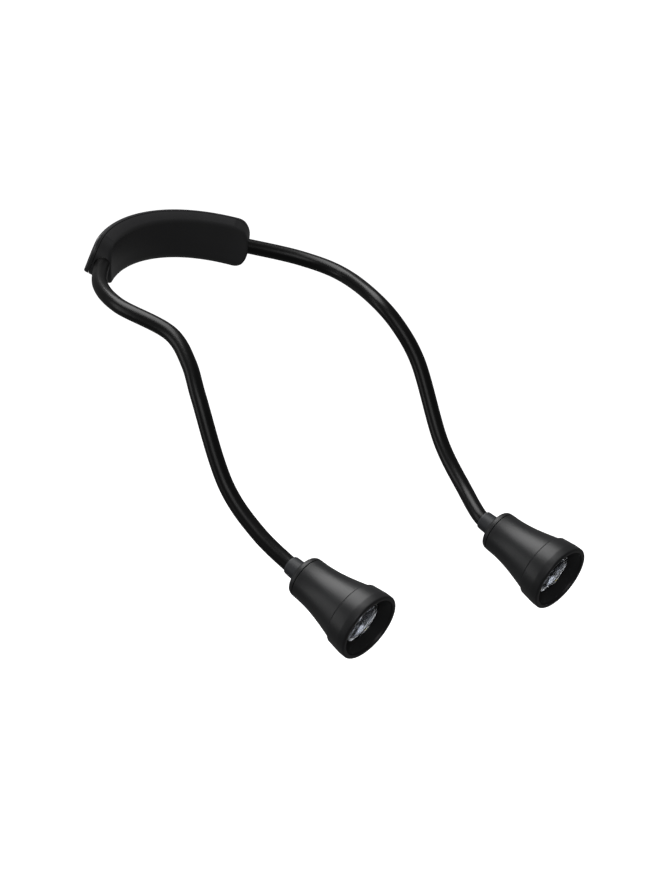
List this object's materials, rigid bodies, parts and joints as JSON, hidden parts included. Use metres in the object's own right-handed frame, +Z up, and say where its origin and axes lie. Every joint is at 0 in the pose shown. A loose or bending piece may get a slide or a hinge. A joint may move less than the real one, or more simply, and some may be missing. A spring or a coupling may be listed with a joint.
{
  "type": "neck reading light",
  "caption": "Reading light worn round the neck: a curved battery housing with a bell-shaped spot head on a bendable arm at each end.",
  "frame": {"origin": "middle of the housing face that lies on the back of the neck", "axes": "+Z up as worn, -Y the way the wearer faces, +X the wearer's left"},
  "size_m": [0.1781, 0.2376, 0.1938],
  "materials": {
    "shell_plastic": "satin black moulded plastic",
    "sleeve_rubber": "smooth black rubber",
    "ferrule_plastic": "dark grey moulded plastic",
    "lens_clear": "clear polished optic",
    "reflector_bright": "bright metallised plastic",
    "led_phosphor": "yellow phosphor under clear silicone",
    "board_white": "white solder mask on aluminium",
    "board_green": "green circuit board",
    "cell_foil": "foil pouch",
    "switch_plastic": "black moulded plastic",
    "core_steel": "plated steel",
    "screw_steel": "nickel-plated steel"
  },
  "bodies": {
    "housing": {"front_shell": "shell_plastic", "back_cover": "shell_plastic", "right_upper_screw": "screw_steel", "right_lower_screw": "screw_steel", "left_upper_screw": "screw_steel", "left_lower_screw": "screw_steel", "charge_board": "board_green", "charge_socket": "screw_steel", "right_cell": "cell_foil", "left_cell": "cell_foil", "right_switch": "switch_plastic", "left_switch": "switch_plastic", "right_driver_board": "board_green", "left_driver_board": "board_green", "right_arm_anchor": "core_steel", "left_arm_anchor": "core_steel", "right_sleeve_1": "sleeve_rubber", "left_sleeve_1": "sleeve_rubber"},
    "right_arm_1": {"right_sleeve_2": "sleeve_rubber", "right_core_2": "core_steel"},
    "right_arm_2": {"right_sleeve_3": "sleeve_rubber", "right_core_3": "core_steel"},
    "right_arm_3": {"right_sleeve_4": "sleeve_rubber", "right_core_4": "core_steel"},
    "right_arm_4": {"right_sleeve_5": "sleeve_rubber", "right_core_5": "core_steel"},
    "right_head": {"right_sleeve_6": "sleeve_rubber", "right_core_6": "core_steel", "right_ferrule": "ferrule_plastic", "right_rear_cap": "shell_plastic", "right_head_body": "shell_plastic", "right_bezel": "shell_plastic", "right_lens": "lens_clear", "right_reflector": "reflector_bright", "right_led_board": "board_white", "right_led": "led_phosphor"},
    "right_button": {"right_button": "switch_plastic"},
    "left_arm_1": {"left_sleeve_2": "sleeve_rubber", "left_core_2": "core_steel"},
    "left_arm_2": {"left_sleeve_3": "sleeve_rubber", "left_core_3": "core_steel"},
    "left_arm_3": {"left_sleeve_4": "sleeve_rubber", "left_core_4": "core_steel"},
    "left_arm_4": {"left_sleeve_5": "sleeve_rubber", "left_core_5": "core_steel"},
    "left_head": {"left_sleeve_6": "sleeve_rubber", "left_core_6": "core_steel", "left_ferrule": "ferrule_plastic", "left_rear_cap": "shell_plastic", "left_head_body": "shell_plastic", "left_bezel": "shell_plastic", "left_lens": "lens_clear", "left_reflector": "reflector_bright", "left_led_board": "board_white", "left_led": "led_phosphor"},
    "left_button": {"left_button": "switch_plastic"}
  },
  "joints": [
    {"name": "right_swing_1", "type": "hinge", "parent": "housing", "child": "right_arm_1", "pos_m": [-0.05845, -0.01754, -0.00931], "axis": [-0.1603, -0.1469, 0.9761], "range_deg": [-35, 15]},
    {"name": "right_tip_2", "type": "hinge", "parent": "right_arm_1", "child": "right_arm_2", "pos_m": [-0.08015, -0.05838, -0.02241], "axis": [-0.9977, -0.068, 0], "range_deg": [-35, 35]},
    {"name": "right_swing_3", "type": "hinge", "parent": "right_arm_2", "child": "right_arm_3", "pos_m": [-0.07631, -0.10081, -0.04505], "axis": [-0.1472, -0.7491, 0.6459], "range_deg": [-30, 30]},
    {"name": "right_tip_4", "type": "hinge", "parent": "right_arm_3", "child": "right_arm_4", "pos_m": [-0.07889, -0.12247, -0.08929], "axis": [-0.995, -0.0997, 0], "range_deg": [-35, 35]},
    {"name": "right_swing_5", "type": "hinge", "parent": "right_arm_4", "child": "right_head", "pos_m": [-0.07416, -0.15206, -0.12808], "axis": [0.118, -0.6032, 0.7888], "range_deg": [-30, 30]},
    {"name": "right_button_press", "type": "slide", "parent": "housing", "child": "right_button", "axis": [-0.4617, 0.7728, 0.4354], "range_m": [-0.0007, 0], "stiffness_N_per_m": 400, "springref_m": 0.0005},
    {"name": "left_swing_1", "type": "hinge", "parent": "housing", "child": "left_arm_1", "pos_m": [0.05841, -0.0175, -0.00926], "axis": [0.1583, -0.145, 0.9767], "range_deg": [-15, 35]},
    {"name": "left_tip_2", "type": "hinge", "parent": "left_arm_1", "child": "left_arm_2", "pos_m": [0.08016, -0.05822, -0.02216], "axis": [-0.998, 0.0639, 0], "range_deg": [-35, 35]},
    {"name": "left_swing_3", "type": "hinge", "parent": "left_arm_2", "child": "left_arm_3", "pos_m": [0.07629, -0.1007, -0.04443], "axis": [0.1477, -0.7442, 0.6514], "range_deg": [-30, 30]},
    {"name": "left_tip_4", "type": "hinge", "parent": "left_arm_3", "child": "left_arm_4", "pos_m": [0.07888, -0.12253, -0.0884], "axis": [-0.995, 0.1001, 0], "range_deg": [-35, 35]},
    {"name": "left_swing_5", "type": "hinge", "parent": "left_arm_4", "child": "left_head", "pos_m": [0.07363, -0.15229, -0.12673], "axis": [-0.1955, -0.558, 0.8065], "range_deg": [-30, 30]},
    {"name": "left_button_press", "type": "slide", "parent": "housing", "child": "left_button", "axis": [0.4617, 0.7728, 0.4354], "range_m": [-0.0007, 0], "stiffness_N_per_m": 400, "springref_m": 0.0005}
  ]
}
